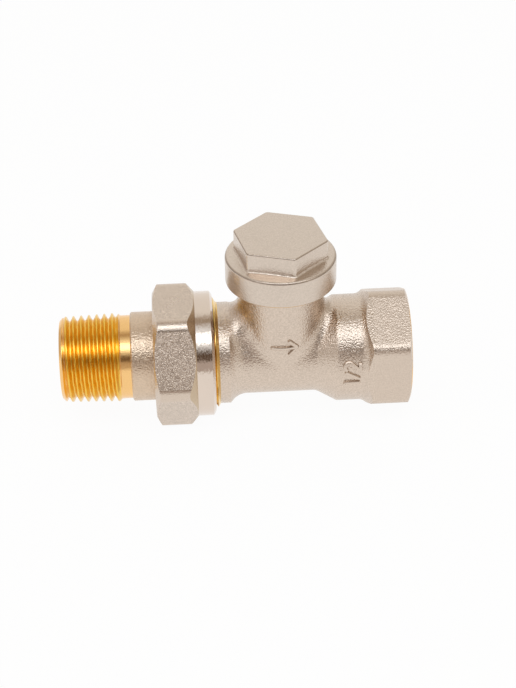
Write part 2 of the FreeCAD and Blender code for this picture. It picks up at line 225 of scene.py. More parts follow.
@dataclass(frozen=True)
class Finish:
    """A metal or seal finish with its grain.

    Attributes:
        name: Name of the material.
        colour: Linear base colour.
        metallic: 1 for metal, 0 for rubber and fibre.
        roughness: Roughness of the plain surface.
        grain_mm: Width of the fine grain.
        grain_depth_mm: Height of the fine grain.
        swell_mm: Width of the slow waves under the grain.
        swell_depth_mm: Height of the slow waves.
        line_mm: Spacing of tool lines along X, or zero for none.
        line_depth_mm: Height of the tool lines.
        line_draw: Spacing of the tool lines over their length.
        mottle: Share by which the colour wanders.
        speckle: Share of that wandering that follows the grain, darker in the pits and lighter on their
            rims, partly residue and partly painted shade; the rest follows slow clouds.
        film: Weight of a thin clear oil film.
        CLOUD: Width of the clouds over that of the slow waves.
        PITS: Grain noise at the floor of a pit, where the painted shade is darkest, and at its rim.
        WANDER: Share of the roughness outside a cloud, and what a cloud adds.
        FILM_ROUGHNESS: Roughness of the film.
        OCTAVE: Strength of each finer octave of noise.
    """

    name: str
    colour: Colour
    metallic: float = 1.0
    roughness: float = 0.25
    grain_mm: float = 0.4
    grain_depth_mm: float = 0.0
    swell_mm: float = 3.0
    swell_depth_mm: float = 0.0
    line_mm: float = 0.0
    line_depth_mm: float = 0.0
    line_draw: float = 0.02
    mottle: float = 0.06
    speckle: float = 0.0
    film: float = 0.0
    CLOUD: ClassVar[float] = 1.7
    PITS: ClassVar[tuple[float, float]] = (0.3, 0.7)
    WANDER: ClassVar[tuple[float, float]] = (0.85, 0.3)
    FILM_ROUGHNESS: ClassVar[float] = 0.12
    OCTAVE: ClassVar[float] = 0.55

    def material(self) -> bpy.types.Material:
        """Make the material, or find it if it has been made.

        Returns:
            The material.
        """
        known = bpy.data.materials.get(self.name)
        if known is not None:
            return known
        made = bpy.data.materials.new(self.name)
        made.use_nodes = True
        graph = Graph(made.node_tree)
        place = graph.node("ShaderNodeTexCoord").outputs["Object"]
        grain = self._noise(graph, place, self.grain_mm, detail=1.0)
        height = self._height(graph, place, grain)
        bump = graph.node("ShaderNodeBump", None, {"Strength": 1.0, "Distance": MM, "Height": height})
        cloud = self._noise(graph, place, self.swell_mm * self.CLOUD, detail=3.0)
        # The tone that follows the grain darkens the pits: partly residue, partly painted shade.
        tone = cloud * (1.0 - self.speckle) + graph.smooth(grain, *self.PITS) * self.speckle
        plain, gain = self.WANDER
        shader = graph.node("ShaderNodeBsdfPrincipled", None, {
            "Base Color": graph.blend(tone, self._shade(1.0 - self.mottle), self._shade(1.0 + self.mottle)),
            "Metallic": self.metallic,
            "Roughness": cloud * (gain * self.roughness) + plain * self.roughness,
            "Coat Weight": self.film,
            "Coat Roughness": self.FILM_ROUGHNESS,
            "Normal": bump.outputs[0],
        })
        graph.node("ShaderNodeOutputMaterial", None, {"Surface": shader.outputs[0]})
        return made

    def _shade(self, share: float) -> tuple[float, ...]:
        """The base colour times a share, as RGBA."""
        return (*(min(1.0, c * share) for c in self.colour), 1.0)

    def _noise(self, graph: Graph, place: bpy.types.NodeSocket, width_mm: float, detail: float) -> Value:
        """Soft noise.

        Args:
            graph: Tree to add to.
            place: Coordinates in metres.
            width_mm: Width of one blot.
            detail: Octaves of finer noise on top.

        Returns:
            Noise from 0 to 1.
        """
        made = graph.node("ShaderNodeTexNoise", None, {
            "Vector": place, "Scale": 1.0 / (width_mm * MM), "Detail": detail, "Roughness": self.OCTAVE})
        return graph.value(made)

    def _height(self, graph: Graph, place: bpy.types.NodeSocket, grain: Value) -> Value:
        """Height of the surface in millimetres: grain, slow waves and tool lines.

        Args:
            graph: Tree to add to.
            place: Coordinates in metres.
            grain: Noise of the fine grain.

        Returns:
            The summed height.
        """
        height = grain * self.grain_depth_mm
        if self.swell_depth_mm > 0.0:
            height = height + self._noise(graph, place, self.swell_mm, detail=1.0) * self.swell_depth_mm
        if self.line_mm > 0.0:
            squeeze = (1.0, self.line_draw, self.line_draw)
            drawn = graph.node("ShaderNodeVectorMath", {"operation": "MULTIPLY"}, {0: place, 1: squeeze})
            lines = self._noise(graph, drawn.outputs[0], self.line_mm, detail=2.0)
            height = height + lines * self.line_depth_mm
        return height


BLASTED: Colour = (0.66, 0.55, 0.455)
BRIGHT: Colour = (0.73, 0.62, 0.53)
YELLOW_BRASS: Colour = (0.90, 0.56, 0.085)
PALE_BRASS: Colour = (0.93, 0.58, 0.24)

FORGED = Finish("blasted_nickel", BLASTED, roughness=0.26, grain_mm=0.37, grain_depth_mm=0.13,
                swell_mm=2.6, swell_depth_mm=0.04, mottle=0.09, speckle=0.8)
PRESSED = Finish("pressed_nickel", BLASTED, roughness=0.3, grain_mm=0.3, grain_depth_mm=0.11,
                 swell_mm=2.6, swell_depth_mm=0.04, mottle=0.08, speckle=0.7)
COARSE = Finish("coarse_nickel", BLASTED, roughness=0.26, grain_mm=0.25, grain_depth_mm=0.13,
                swell_mm=2.6, swell_depth_mm=0.04, mottle=0.18, speckle=0.85)
RAISED = Finish("raised_nickel", BLASTED, roughness=0.27, grain_mm=0.3, grain_depth_mm=0.03,
                mottle=0.08, speckle=0.6)
RUBBED = Finish("rubbed_nickel", BLASTED, roughness=0.27, grain_mm=0.3, grain_depth_mm=0.045,
                swell_mm=2.6, swell_depth_mm=0.03, mottle=0.06, speckle=0.5)
SHANK = Finish("thin_nickel", (0.67, 0.52, 0.385), roughness=0.29, grain_mm=0.38, grain_depth_mm=0.14,
               swell_mm=2.6, swell_depth_mm=0.04, mottle=0.09, speckle=0.7)
# Darker nickel for the cap's rounded edges: painted shade, a dark reflection line painted into the colour.
PAINTED_EDGE_SHADE = Finish("painted_edge_shade_nickel", (0.43, 0.35, 0.285), roughness=0.3, grain_mm=0.3, grain_depth_mm=0.03,
                   mottle=0.25, speckle=0.3)
TURNED = Finish("turned_nickel", BRIGHT, roughness=0.11, grain_mm=0.5, grain_depth_mm=0.003,
                line_mm=0.2, line_depth_mm=0.06, line_draw=0.2, mottle=0.03)
SATIN = Finish("satin_nickel", (0.655, 0.56, 0.475), roughness=0.26, grain_mm=0.3, grain_depth_mm=0.05,
               swell_mm=2.2, swell_depth_mm=0.012, mottle=0.08, speckle=0.6)
# Warmer, darker nickel for the nut's bevel: partly worn plating, partly a painted dark reflection of the
# cap's underside.
WORN_WITH_REFLECTION = Finish("worn_reflection_nickel", (0.57, 0.445, 0.31), roughness=0.24, grain_mm=0.4, grain_depth_mm=0.02,
              mottle=0.1, speckle=0.2)
# Darker nickel for the flanks of the raised marks: painted shade on their sides.
PAINTED_FLANK_SHADE = Finish("flank_shade_nickel", (0.53, 0.435, 0.355), roughness=0.3, grain_mm=0.3, grain_depth_mm=0.03,
               mottle=0.15, speckle=0.3)
CUT_BRASS = Finish("cut_brass", YELLOW_BRASS, roughness=0.29, grain_mm=0.5, grain_depth_mm=0.01,
                   line_mm=0.14, line_depth_mm=0.003, film=0.3)
PALE_CUT = Finish("turned_brass", PALE_BRASS, roughness=0.2, grain_mm=0.5, grain_depth_mm=0.01,
                  line_mm=0.16, line_depth_mm=0.004)
UNION_BRASS = Finish("union_brass", (0.86, 0.59, 0.20), roughness=0.22, grain_mm=0.5, grain_depth_mm=0.01,
                     line_mm=0.16, line_depth_mm=0.004)
DULL_BRASS = Finish("inner_brass", (0.80, 0.56, 0.22), roughness=0.28, grain_mm=0.4, grain_depth_mm=0.015)
BLACK_RUBBER = Finish("black_rubber", (0.018, 0.018, 0.02), metallic=0.0, roughness=0.55, grain_mm=0.3,
                      grain_depth_mm=0.01)
RED_FIBRE = Finish("red_fibre", (0.22, 0.06, 0.035), metallic=0.0, roughness=0.7, grain_mm=0.25,
                   grain_depth_mm=0.02, mottle=0.2)
ZINC_STEEL = Finish("zinc_steel", (0.62, 0.61, 0.60), roughness=0.3, grain_mm=0.3, grain_depth_mm=0.008)


@dataclass(frozen=True)
class Axis:
    """A line that turned forms go round, in millimetres; angles are right-handed about it.

    Attributes:
        origin: Point at which distances along the line begin.
        along: Direction of the line.
        zero: Direction at which angles begin.
    """

    origin: Vector
    along: Vector
    zero: Vector

    def place(self, along: float, radius: float, angle: float) -> Vector:
        """Point round the line.

        Args:
            along: Distance along the line.
            radius: Distance from the line.
            angle: Angle about it, in radians.

        Returns:
            The point in metres.
        """
        side = self.along.cross(self.zero)
        spoke = self.zero * math.cos(angle) + side * math.sin(angle)
        return (self.origin + self.along * along + spoke * radius) * MM

    def measure(self, point: Vector) -> tuple[float, float]:
        """Where a point lies.

        Args:
            point: The point in metres.

        Returns:
            Distance along the line and from it, in millimetres.
        """
        offset = point / MM - self.origin
        along = offset.dot(self.along)
        return along, (offset - self.along * along).length


RUN = Axis(Vector((0, 0, 0)), Vector((1, 0, 0)), Vector((0, 1, 0)))


@dataclass(frozen=True)
class Thread:
    """A right-hand screw thread, in millimetres.

    Attributes:
        pitch: Advance in one turn.
        depth: Height from root to crest.
        phase: Turns by which the crest is shifted.
        flat: Share of half a pitch that is flat at the crest and at the root.
    """

    pitch: float
    depth: float
    phase: float = 0.0
    flat: float = 0.13

    def height(self, along: np.ndarray, angle: np.ndarray) -> np.ndarray:
        """Share of the depth at each place, 0 at the root and 1 at the crest.

        Args:
            along: Distances along the axis.
            angle: Angles about the axis.

        Returns:
            Shares from 0 to 1.
        """
        turns = along / self.pitch - angle / (2.0 * math.pi) + self.phase
        saw = np.abs(2.0 * (turns - np.floor(turns)) - 1.0)
        return np.clip((saw - self.flat) / (1.0 - 2.0 * self.flat), 0.0, 1.0)


@dataclass(frozen=True)
class Zone:
    """A band of turned surface to be replaced, in millimetres.

    Attributes:
        axis: Line that the band goes round.
        low: Place along the axis where it begins.
        high: Place along the axis where it ends.
        inner: Smallest radius.
        outer: Largest radius.
        slack: Deviation that still counts as in the band.
    """

    axis: Axis
    low: float
    high: float
    inner: float
    outer: float
    slack: float = 0.012

    def holds(self, point: Vector) -> bool:
        """Whether a point lies in the band.

        Args:
            point: The point in metres.

        Returns:
            True if it does.
        """
        along, radius = self.axis.measure(point)
        in_reach = self.low - self.slack <= along <= self.high + self.slack
        return in_reach and self.inner - self.slack <= radius <= self.outer + self.slack

    def spans(self, face: bmesh.types.BMFace) -> bool:
        """Whether a face lies in the band and isn't an end face across the axis.

        Args:
            face: The face.

        Returns:
            True if it does.
        """
        if not all(self.holds(v.co) for v in face.verts):
            return False
        places = [self.axis.measure(v.co)[0] for v in face.verts]
        return max(places) - min(places) > self.slack


def add_object(name: str, data: bpy.types.ID) -> bpy.types.Object:
    """Put a mesh, lamp or camera in the scene.

    Args:
        name: Name of the object.
        data: What the object shows.

    Returns:
        The new object.
    """
    made = bpy.data.objects.new(name, data)
    bpy.context.scene.collection.objects.link(made)
    return made


def settle(mesh: bmesh.types.BMesh, name: str) -> bpy.types.Mesh:
    """Turn an edit mesh into mesh data and free it.

    Args:
        mesh: The edit mesh.
        name: Name of the data.

    Returns:
        The data.
    """
    data = bpy.data.meshes.new(name)
    mesh.to_mesh(data)
    mesh.free()
    return data


def link_piece(data: bpy.types.Mesh, finishes: list[Finish], body: str) -> bpy.types.Object:
    """Put a mesh in the scene as a piece of the same name, smooth up to the angle of its sharp edges.

    Args:
        data: Its mesh, in metres.
        finishes: Its finishes, in slot order.
        body: Body that it rides on.

    Returns:
        The new object.
    """
    for finish in finishes:
        data.materials.append(finish.material())
    data.polygons.foreach_set("use_smooth", [True] * len(data.polygons))
    data.set_sharp_from_angle(angle=SMOOTH_ANGLE)
    made = add_object(data.name, data)
    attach(made, body)
    return made


class Blank:
    """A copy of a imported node's mesh that is cut, dressed and put in the node's place.

    Attributes:
        SEGMENTS: Faces round a cut thread.
        STEP_MM: Spacing of its rings.
        END_STEP: Share of that spacing by which the first and last ring stand off the rim.
        LEAST_RINGS: Fewest rings of a band.
        WELD_M: Distance within which corners are joined.
        PLANE_M: Distance within which a corner counts as on a cutting plane.
    """

    SEGMENTS: ClassVar[int] = 160
    STEP_MM: ClassVar[float] = 0.12
    END_STEP: ClassVar[float] = 0.3
    LEAST_RINGS: ClassVar[int] = 8
    WELD_M: ClassVar[float] = 1e-6
    PLANE_M: ClassVar[float] = 1e-9

    def __init__(self, node: str, name: str, finishes: list[Finish]) -> None:
        """Copy the node.

        Args:
            node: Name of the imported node.
            name: Name of the piece that stands for it.
            finishes: Finishes in the order of the piece's material slots.
        """
        self.node = node
        self.name = name
        self.finishes = finishes
        self.numbers = {finish: number for number, finish in enumerate(finishes)}
        self.mesh = bmesh.new()
        self.mesh.from_mesh(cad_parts[node].data)
        bmesh.ops.remove_doubles(self.mesh, verts=self.mesh.verts, dist=self.WELD_M)

    def dress(self, choose: Callable[[Vector, Vector], Finish]) -> None:
        """Give each face the finish that a rule picks.

        Args:
            choose: Takes a face's middle in millimetres and its normal, returns the finish.
        """
        self.mesh.normal_update()
        for face in self.mesh.faces:
            face.material_index = self.numbers[choose(face.calc_center_median() / MM, face.normal)]

    def split_across(self, axis: Axis, along: float) -> None:
        """Cut every face at a plane across an axis.

        Args:
            axis: The axis.
            along: Place of the plane along it.
        """
        bmesh.ops.bisect_plane(
            self.mesh, geom=[*self.mesh.verts, *self.mesh.edges, *self.mesh.faces], dist=self.PLANE_M,
            plane_co=axis.place(along, 0.0, 0.0), plane_no=axis.along)

    def cut_thread(self, zone: Zone, radius: Radius, finish: Finish, inward: bool = False) -> None:
        """Replace a band by a fine grid whose radius follows a thread.

        Args:
            zone: Band that is replaced.
            radius: Radius in millimetres from distances along the axis and angles.
            finish: Finish of the new faces.
            inward: Whether the band faces its axis.
        """
        doomed = [f for f in self.mesh.faces if zone.spans(f)]
        bmesh.ops.delete(self.mesh, geom=doomed, context="FACES")
        middle = (zone.low + zone.high) / 2.0
        rims = {False: [], True: []}
        for edge in self.mesh.edges:
            if edge.is_boundary:
                rims[zone.axis.measure(edge.verts[0].co)[0] > middle].append(edge)
        rings = self._rings(zone, radius)
        number = self.numbers[finish]
        for lower, upper in zip(rings, rings[1:]):
            for k in range(self.SEGMENTS):
                after = (k + 1) % self.SEGMENTS
                corners = [lower[k], lower[after], upper[after], upper[k]]
                face = self.mesh.faces.new(corners[::-1] if inward else corners)
                face.material_index = number
        for ring, rim in ((rings[0], rims[False]), (rings[-1], rims[True])):
            loop = [self.mesh.edges.get((ring[k], ring[(k + 1) % self.SEGMENTS]))
                    for k in range(self.SEGMENTS)]
            for face in bmesh.ops.bridge_loops(self.mesh, edges=[*loop, *rim])["faces"]:
                face.material_index = number

    def _rings(self, zone: Zone, radius: Radius) -> list[list[bmesh.types.BMVert]]:
        """Corners of the fine grid.

        Args:
            zone: Band that the grid fills.
            radius: Radius in millimetres from distances along the axis and angles.

        Returns:
            The corners of each ring, from the low end to the high end.
        """
        count = max(self.LEAST_RINGS, round((zone.high - zone.low) / self.STEP_MM))
        along = np.linspace(zone.low, zone.high, count + 1)
        along[0] += self.END_STEP * self.STEP_MM
        along[-1] -= self.END_STEP * self.STEP_MM
        angle = np.linspace(0.0, 2.0 * math.pi, self.SEGMENTS, endpoint=False)
        grid = radius(along[:, None], angle[None, :])
        rings = []
        for row, reach in enumerate(along):
            rings.append([self.mesh.verts.new(zone.axis.place(reach, float(grid[row, k]), a))
                          for k, a in enumerate(angle)])
        return rings

    def finish(self, body: str, slot: Slot) -> bpy.types.Object:
        """Turn the mesh into the piece that stands for the node.

        Args:
            body: Body that it rides on.
            slot: Record slot of its main finish; not used.

        Returns:
            The new object.
        """
        bmesh.ops.recalc_face_normals(self.mesh, faces=self.mesh.faces)
        open_edges = sum(1 for e in self.mesh.edges if not e.is_manifold)
        data = settle(self.mesh, self.name)
        stored = data.attributes.get("custom_normal")
        if stored is not None:
            data.attributes.remove(stored)
        made = link_piece(data, self.finishes, body)
        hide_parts(self.node)
        LOG.info("%s stands for %s, %d faces, %d open edges", self.name, self.node,
                 len(data.polygons), open_edges)
        return made


@dataclass
class UnionThreads:
    """Threads that pieces share, with the places that keep them in mesh, in millimetres.

    Attributes:
        union: Thread of the union on the body.
        tail: Taper thread of the tail.
        pipe: Thread of the pipe bore.
        cap: Thread of the cap on the neck.
        union_major: Crest radius of the union thread.
        cap_major: Crest radius of the cap thread.
        mesh_gap: Room between a male crest and its female root.
        root_gap: Room between a male root and its female crest, and share by which the groove is widened.
    """

    union: Thread = Thread(pitch=1.8143, depth=1.16, phase=0.30)
    tail: Thread = Thread(pitch=1.8143, depth=1.16, phase=0.32, flat=0.17)
    pipe: Thread = Thread(pitch=1.8143, depth=1.16)
    cap: Thread = Thread(pitch=1.5, depth=0.92)
    union_major: float = 13.22
    cap_major: float = 9.8
    mesh_gap: float = 0.05
    root_gap: float = 0.12

    def female(self, thread: Thread, major: float, along: np.ndarray, angle: np.ndarray) -> np.ndarray:
        """Radius of the female thread that runs on a male one.

        Args:
            thread: The male thread.
            major: Its crest radius.
            along: Distances along the axis.
            angle: Angles about the axis.

        Returns:
            Radii in millimetres.
        """
        share = np.clip(thread.height(along, angle) + self.root_gap, 0.0, 1.0)
        return major + self.mesh_gap - (thread.depth - self.root_gap) * (1.0 - share)


THREADS = UnionThreads()


def fade(along: np.ndarray, start: float, end: float) -> np.ndarray:
    """Smooth step from 0 to 1.

    Args:
        along: Distances along the axis.
        start: Where the step begins; it may lie above the end.
        end: Where the step ends.

    Returns:
        Shares from 0 to 1.
    """
    part = np.clip((along - start) / (end - start), 0.0, 1.0)
    return part * part * (3.0 - 2.0 * part)


def spindle_axis() -> Axis:
    """The spindle's line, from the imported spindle's box."""
    low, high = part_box("spindle")
    return Axis(Vector(((low.x + high.x) / 2.0 / MM, 0, 0)), Vector((0, 0, 1)), Vector((1, 0, 0)))


@dataclass
class ForgedBody:
    """The forged tee body with its union thread, pipe thread and cap thread, in millimetres.

    Attributes:
        thread_foot: Place where the union thread ends at its collar.
        union_crest: Crest radius of the union thread.
        union_chamfer: Drop of the chamfer at the union end.
        thread_rise: Length of the slope from the collar up to the crest.
        foot_radius: Radius of the collar behind the thread.
        pipe_minor: Radius of the pipe bore.
        pipe_bottom: Depth of the pipe bore.
        pipe_chamfer: Depth of its mouth chamfer.
        pipe_fade: Length over which the pipe thread grows from the bottom.
        pipe_full: Place near the mouth from which the pipe thread is full.
        neck_radius: Radius of the neck, the crest of the cap thread.
        neck_start: Height at which the cap thread begins.
        neck_fade: Length over which it grows.
        neck_chamfer: Height of the chamfer at the top of the neck.
        bare_rim: Width of the bare ring at the pipe end.
        bare_top: Height from which the neck is bare.
        hexagon_start: Place where the pipe hexagon rises out of the collar.
        run_inside: Radius about the run within which faces that look inward are water way.
        end_inside: Radius about the run within which faces across it are water way.
        neck_inside: Radius about the spindle, and height, from which on faces are the neck's inside.
        well_inside: Radii about the spindle and the run within which faces are the seat's well.
        stem: The spindle's line.
        INWARD: Outward share of the normal below which a face looks inward.
        ACROSS: Share of the normal along the run from which a face lies across it.
    """

    thread_foot: float = -44.5
    union_crest: float = THREADS.union_major
    union_chamfer: float = 0.9
    thread_rise: float = 0.7
    foot_radius: float = 12.0
    pipe_minor: float = 9.316
    pipe_bottom: float = -15.0
    pipe_chamfer: float = 0.45
    pipe_fade: float = 2.5
    pipe_full: float = -1.0
    neck_radius: float = THREADS.cap_major
    neck_start: float = 20.4
    neck_fade: float = 0.9
    neck_chamfer: float = 0.6
    bare_rim: float = 0.14
    bare_top: float = 23.7
    hexagon_start: float = -8.6
    run_inside: float = 9.9
    end_inside: float = 9.2
    neck_inside: tuple[float, float] = (8.6, 1.0)
    well_inside: tuple[float, float] = (6.9, 9.0)
    stem: Axis = field(default_factory=spindle_axis)
    INWARD: ClassVar[float] = -0.05
    ACROSS: ClassVar[float] = 0.99

    def build(self) -> bpy.types.Object:
        """Cut the three threads and put the body in place.

        Returns:
            The piece.
        """
        blank = Blank("valve_body", "forged_body", [FORGED, PALE_CUT, DULL_BRASS, PRESSED, UNION_BRASS])
        blank.split_across(RUN, -self.bare_rim)
        blank.split_across(RUN, self.hexagon_start)
        blank.dress(self._finish_of)
        low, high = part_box("valve_body")
        self._cut_union(blank, low.x / MM)
        self._cut_pipe(blank)
        self._cut_neck(blank, high.z / MM)
        return blank.finish("body", Slot.PLATE)

    def _finish_of(self, middle: Vector, normal: Vector) -> Finish:
        """Plate outside, bare brass where the body is turned after plating.

        Args:
            middle: A face's middle.
            normal: Its normal.

        Returns:
            Its finish.
        """
        if middle.x < self.thread_foot:
            return UNION_BRASS
        if middle.z > self.bare_top or middle.x > -self.bare_rim:
            return PALE_CUT
        from_run = Vector((0, middle.y, middle.z))
        off_run = from_run.length
        off_stem = math.hypot(middle.x - self.stem.origin.x, middle.y)
        inside = (
            off_run < self.run_inside and normal.dot(from_run) < self.INWARD * off_run,
            off_run < self.end_inside and abs(normal.x) > self.ACROSS,
            off_stem < self.neck_inside[0] and middle.z > self.neck_inside[1],
            off_stem < self.well_inside[0] and off_run < self.well_inside[1],
        )
        if any(inside):
            return DULL_BRASS
        return PRESSED if middle.x > self.hexagon_start else FORGED

    def _cut_union(self, blank: Blank, end: float) -> None:
        """Cut the union thread from the chamfered end to the collar.

        Args:
            blank: The body's blank.
            end: Place of the chamfered end.
        """
        thread = THREADS.union
        root = self.union_crest - thread.depth
        end_radius = self.union_crest - self.union_chamfer

        def radius(along: np.ndarray, angle: np.ndarray) -> np.ndarray:
            """Thread under the turned envelope.

            Args:
                along: Distances along the run.
                angle: Angles about it.

            Returns:
                Radii.
            """
            rise = self.foot_radius + (self.thread_foot - along) * (
                (self.union_crest - self.foot_radius) / self.thread_rise)
            envelope = np.minimum(np.minimum(end_radius + (along - end), rise), self.union_crest)
            return np.minimum(envelope, root + thread.depth * thread.height(along, angle))

        zone = Zone(RUN, end, self.thread_foot, min(end_radius, self.foot_radius), self.union_crest)
        blank.cut_thread(zone, radius, UNION_BRASS)

    def _cut_pipe(self, blank: Blank) -> None:
        """Cut the pipe thread into its bore.

        Args:
            blank: The body's blank.
        """
        thread = THREADS.pipe

        def radius(along: np.ndarray, angle: np.ndarray) -> np.ndarray:
            """Grooves outward from the bore, fading at both ends.

            Args:
                along: Distances along the run.
                angle: Angles about it.

            Returns:
                Radii.
            """
            share = fade(along, self.pipe_bottom, self.pipe_bottom + self.pipe_fade)
            share = share * fade(along, -self.pipe_chamfer, self.pipe_full)
            return self.pipe_minor + thread.depth * share * (1.0 - thread.height(along, angle))

        zone = Zone(RUN, self.pipe_bottom, -self.pipe_chamfer, self.pipe_minor, self.pipe_minor)
        blank.cut_thread(zone, radius, DULL_BRASS, inward=True)

    def _cut_neck(self, blank: Blank, top: float) -> None:
        """Cut the cap's thread round the neck.

        Args:
            blank: The body's blank.
            top: Height of the neck.
        """
        thread = THREADS.cap

        def radius(along: np.ndarray, angle: np.ndarray) -> np.ndarray:
            """Grooves into the neck, running out at the foot.

            Args:
                along: Distances along the spindle.
                angle: Angles about it.

            Returns:
                Radii.
            """
            share = fade(along, self.neck_start, self.neck_start + self.neck_fade)
            return self.neck_radius - thread.depth * share * (1.0 - thread.height(along, angle))

        blank.split_across(self.stem, self.neck_start)
        zone = Zone(self.stem, self.neck_start, top - self.neck_chamfer, self.neck_radius, self.neck_radius)
        blank.cut_thread(zone, radius, UNION_BRASS)


@dataclass
class TailPiece:
    """The radiator tail with its taper thread, in millimetres.

    Attributes:
        crest: Largest crest radius of the taper thread.
        taper: Loss of radius per length towards the end.
        lead_drop: Drop of the lead chamfer at the end.
        lead_length: Length of the lead chamfer.
        lead_fade: Distances from the end, and past the lead, at which the groove begins and is full.
        runout: Place where the thread ends.
        runout_rise: Length of the slope down to the run-out.
        runout_radius: Radius of the run-out.
        thread_short: Length by which the thread stops before the turned envelope does.
        thread_fade: Length over which the groove grows shallow.
        thread_lift: Share of the depth that the groove loses there.
        thread_over: Length by which the thread's finish reaches on to the run-out.
        shank_end: Place where the plated shank begins.
        inside: Radius within which every face is inside.
        INWARD: Outward share of the normal below which a face looks inward.
        ENDWARD: Share of the normal along the run below which a face looks out of the end.
    """

    crest: float = 10.478
    taper: float = 1.0 / 32.0
    lead_drop: float = 1.28
    lead_length: float = 1.3
    lead_fade: tuple[float, float] = (0.2, 0.5)
    runout: float = -67.3
    runout_rise: float = 0.7
    runout_radius: float = 9.828
    thread_short: float = 0.7
    thread_fade: float = 2.0
    thread_lift: float = 0.5
    thread_over: float = 0.3
    shank_end: float = -64.95
    inside: float = 8.4
    INWARD: ClassVar[float] = -0.1
    ENDWARD: ClassVar[float] = -0.5

    def build(self) -> bpy.types.Object:
        """Cut the taper thread and put the tail in place.

        Returns:
            The piece.
        """
        blank = Blank("union_tail", "tail_piece", [SHANK, CUT_BRASS, DULL_BRASS, PALE_CUT])
        thread = THREADS.tail
        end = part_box("union_tail")[0].x / MM
        lead_end = end + self.lead_length
        thread_end = self.runout - self.thread_short + self.thread_over

        def choose(middle: Vector, normal: Vector) -> Finish:
            """Plate on the shank, cut brass at the thread, dull brass inside.

            Args:
                middle: A face's middle.
                normal: Its normal.

            Returns:
                Its finish.
            """
            radial = Vector((0, middle.y, middle.z))
            if normal.x < self.ENDWARD and middle.x < lead_end:
                return PALE_CUT
            if normal.dot(radial) < self.INWARD * radial.length or radial.length < self.inside:
                return DULL_BRASS
            if middle.x > self.shank_end:
                return SHANK
            return CUT_BRASS if lead_end < middle.x < thread_end else PALE_CUT

        def radius(along: np.ndarray, angle: np.ndarray) -> np.ndarray:
            """Taper thread under the turned envelope, run out towards the shank.

            Args:
                along: Distances along the run.
                angle: Angles about it.

            Returns:
                Radii.
            """
            crest = self.crest - self.taper * np.maximum(0.0, self.runout - along)
            stop = self.runout + self.runout_rise - self.thread_short
            lead = self.crest - self.lead_drop + (along - end) * (self.lead_drop / self.lead_length)
            rise = self.runout_radius + np.maximum(0.0, stop - along) * (
                (self.crest - self.runout_radius) / self.runout_rise)
            envelope = np.minimum(np.minimum(lead, rise), self.crest)
            deep = thread.depth * (1.0 - self.thread_lift * fade(along, stop - self.thread_fade, stop))
            deep = deep * fade(along, end + self.lead_fade[0], lead_end + self.lead_fade[1])
            return np.minimum(envelope, crest - deep * (1.0 - thread.height(along, angle)))

        zone = Zone(RUN, end, self.runout + self.runout_rise, self.crest - self.lead_drop, self.crest)
        blank.cut_thread(zone, radius, CUT_BRASS)
        blank.dress(choose)
        return blank.finish("tail", Slot.BRASS)


@dataclass
class CouplingNut:
    """The union nut with its female thread, in millimetres.

    Attributes:
        bore: Radius of the thread bore.
        mouth_chamfer: Depth of the chamfer at its mouth.
        mouth_fade: Length over which the thread grows from the mouth.
        wall: Thickness of the back wall.
        relief: Length without thread at the back wall.
        relief_fade: Length over which the thread grows there.
        collar_length: Length of the turned collar at the mouth.
        across_flats: Width of the hexagon over its flats.
        flat_slack: Deviation from a flat's plane that still counts as flat.
        skin: Reach past the bore and its end that still counts as inside.
        ACROSS: Share of the normal along the run from which a face lies across it.
        BEVEL: Share of the normal along the run from which a face is the bevel behind the collar.
    """

    bore: float = 13.27
    mouth_chamfer: float = 0.2
    mouth_fade: float = 0.7
    wall: float = 2.3
    relief: float = 3.0
    relief_fade: float = 0.8
    collar_length: float = 4.2
    across_flats: float = 30.0
    flat_slack: float = 0.02
    skin: float = 0.05
    ACROSS: ClassVar[float] = 0.9
    BEVEL: ClassVar[float] = 0.2

    def build(self) -> bpy.types.Object:
        """Cut the thread and put the nut in place.

        Returns:
            The piece.
        """
        blank = Blank("union_nut", "coupling_nut", [COARSE, TURNED, CUT_BRASS, RUBBED, WORN_WITH_REFLECTION])
        low, high = (corner.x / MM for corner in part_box("union_nut"))
        inner_end = low + self.wall
        mouth = high - self.mouth_chamfer

        def choose(middle: Vector, normal: Vector) -> Finish:
            """Blasted flats with rubbed edges, turned collar, worn bevel darkened by a painted reflection,
            bare brass inside.

            Args:
                middle: A face's middle.
                normal: Its normal.

            Returns:
                Its finish.
            """
            radial = Vector((0, middle.y, middle.z))
            if radial.length < self.bore + self.skin and middle.x > inner_end - self.skin:
                return CUT_BRASS
            if middle.x > high - self.collar_length and normal.x < self.ACROSS:
                return TURNED
            # The bevel gets the darker, warmer nickel: a painted reflection on top of worn plating.
            if normal.x > self.BEVEL:
                return WORN_WITH_REFLECTION
            on_flat = abs(normal.dot(radial) - self.across_flats / 2.0) < self.flat_slack
            return COARSE if on_flat else RUBBED

        def radius(along: np.ndarray, angle: np.ndarray) -> np.ndarray:
            """Ridges inward that run in the union thread.

            Args:
                along: Distances along the run.
                angle: Angles about it.

            Returns:
                Radii.
            """
            cut = THREADS.female(THREADS.union, THREADS.union_major, along, angle)
            full = inner_end + self.relief
            share = fade(along, full - self.relief_fade, full) * fade(along, mouth, mouth - self.mouth_fade)
            return self.bore + (cut - self.bore) * share

        blank.dress(choose)
        zone = Zone(RUN, inner_end, mouth, self.bore, self.bore)
        blank.cut_thread(zone, radius, CUT_BRASS, inward=True)
        return blank.finish("nut", Slot.PLATE)


